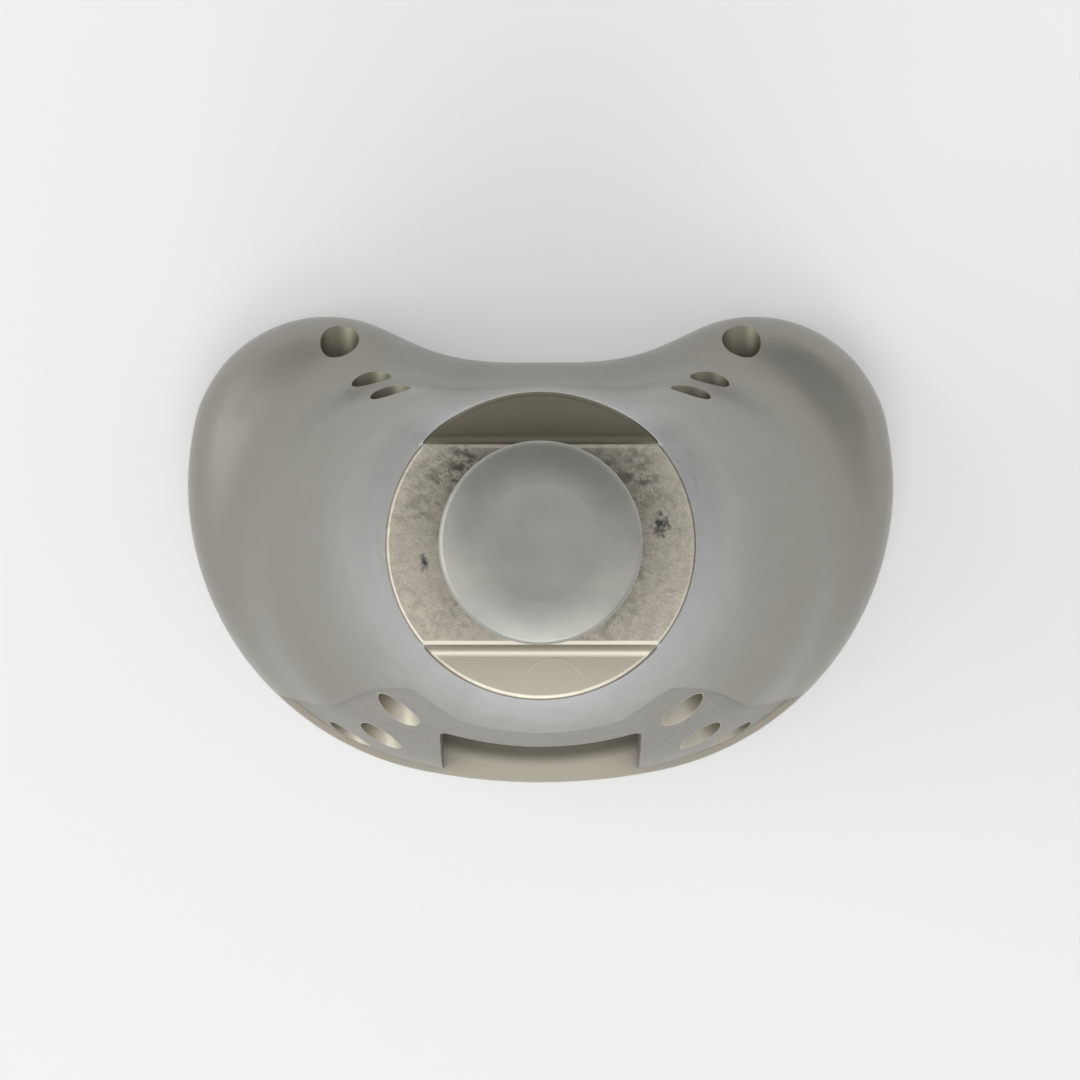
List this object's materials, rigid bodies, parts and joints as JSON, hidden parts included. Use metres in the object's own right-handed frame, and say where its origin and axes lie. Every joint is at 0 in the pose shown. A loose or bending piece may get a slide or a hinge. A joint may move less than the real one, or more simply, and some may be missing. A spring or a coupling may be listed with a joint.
{
  "type": "proximal tibial replacement",
  "caption": "Metal body that replaces the top of the shin bone: a kidney-shaped knee tray flaring down to a notched round collar with a stem taper.",
  "frame": {"origin": "on the axis of the stem taper, in the plane of the tray's rim that it stands on", "axes": "+Z along the axis from the knee tray to the stem taper, +Y to the back of the knee, X from side to side"},
  "size_m": [0.074, 0.0486, 0.088],
  "materials": {
    "implant_metal": "satin-polished cobalt-chromium casting with machined collar and taper and a blasted bed"
  },
  "bodies": {
    "root": {"tibial_body": "implant_metal"}
  },
  "joints": []
}
